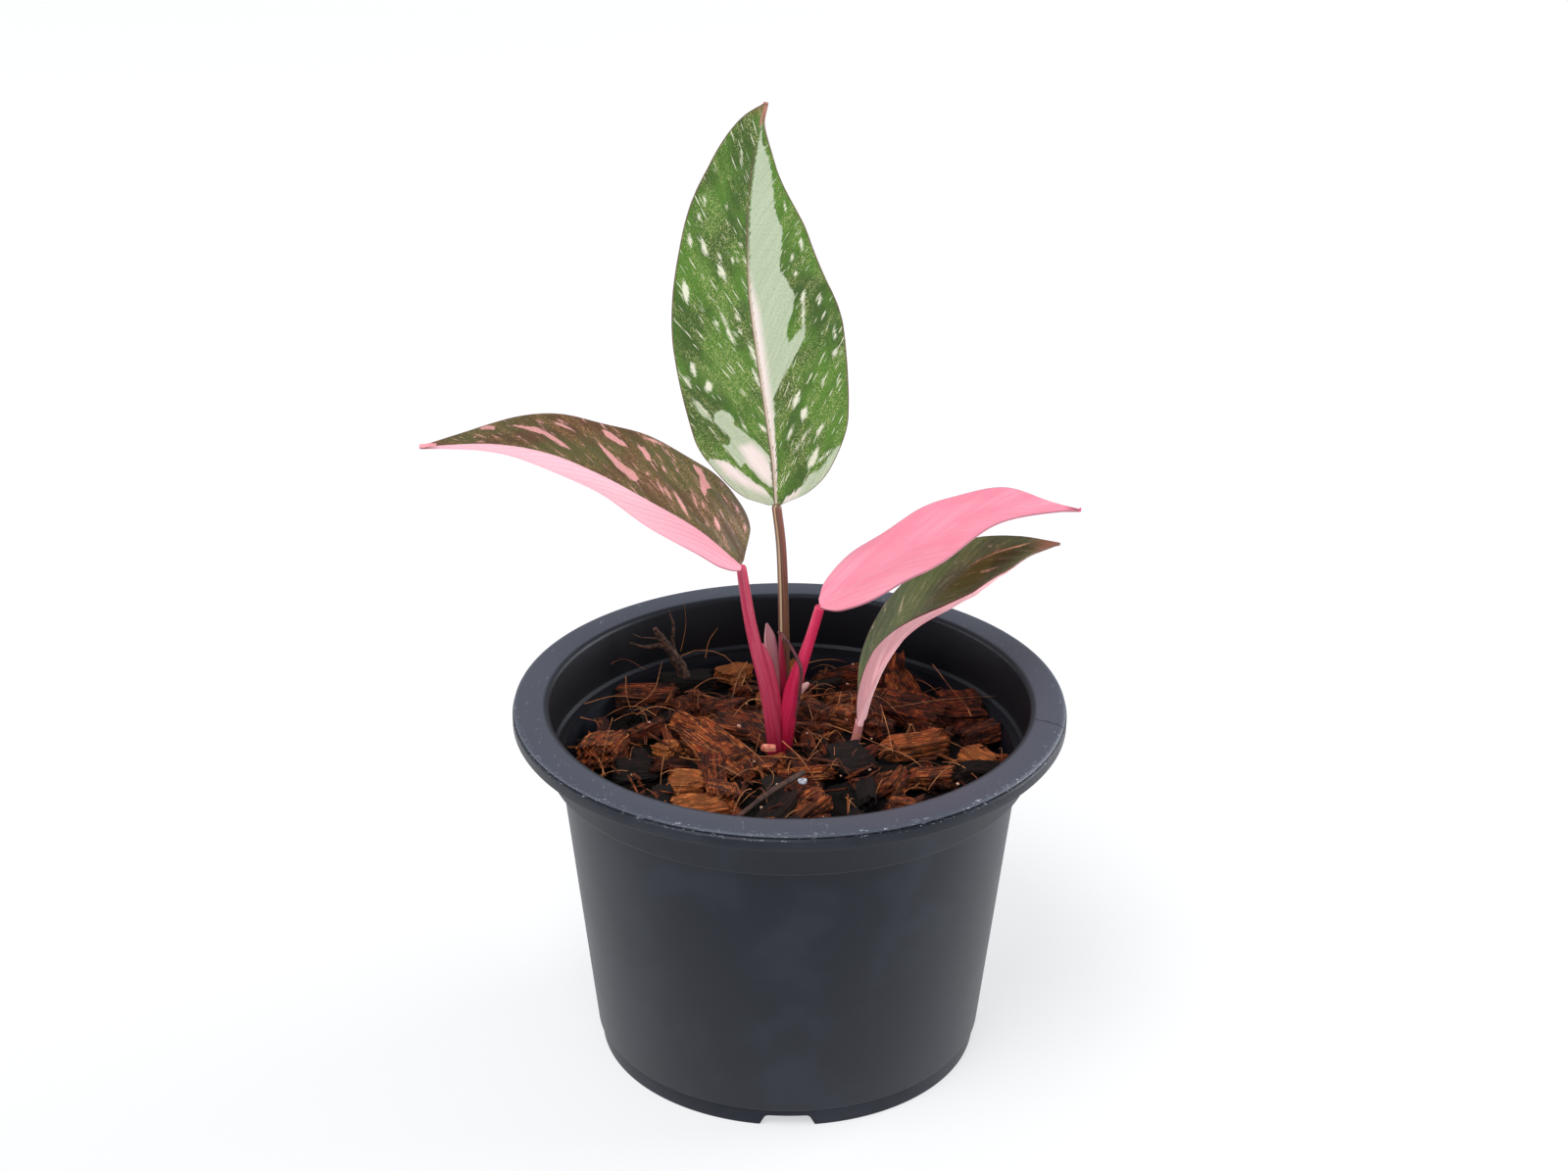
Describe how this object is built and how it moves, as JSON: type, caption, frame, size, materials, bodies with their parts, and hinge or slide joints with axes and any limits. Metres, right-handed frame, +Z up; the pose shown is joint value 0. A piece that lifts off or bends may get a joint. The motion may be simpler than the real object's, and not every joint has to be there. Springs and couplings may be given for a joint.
{
  "type": "pink princess philodendron in a nursery pot",
  "caption": "Young variegated philodendron with green, cream and pink leaves on sheathed stalks, standing in husk mix in a round black nursery pot.",
  "frame": {"origin": "on the table, under the middle of the whole plant and pot", "axes": "+Z up, +Y away from the viewer of the front, +X to that viewer's right"},
  "size_m": [0.1749, 0.15, 0.2628],
  "materials": {
    "pot_plastic": "satin moulded black plastic",
    "husk": "rough fibrous husk",
    "dark_bark": "rough dark bark",
    "brown_stalk": "smooth waxy stalk",
    "magenta_stalk": "smooth waxy stalk",
    "crimson_stalk": "smooth waxy stalk",
    "pale_stalk": "smooth waxy stalk",
    "green_leaf": "satin waxy leaf with cream markings",
    "olive_pink_leaf": "satin waxy leaf, half olive and half pink",
    "pink_leaf": "satin waxy pink leaf",
    "mauve_spear": "dull waxy rolled leaf"
  },
  "bodies": {
    "root": {"pot": "pot_plastic", "potting_mix": "husk", "dark_twig": "dark_bark", "stem_base": "brown_stalk", "petiole_a": "brown_stalk", "petiole_b": "magenta_stalk", "petiole_c": "crimson_stalk", "petiole_d": "pale_stalk", "blade_a": "green_leaf", "blade_b": "olive_pink_leaf", "blade_c": "pink_leaf", "blade_d": "green_leaf", "spear": "mauve_spear", "inner_sheath": "crimson_stalk", "dry_tendril": "dark_bark"}
  },
  "joints": []
}
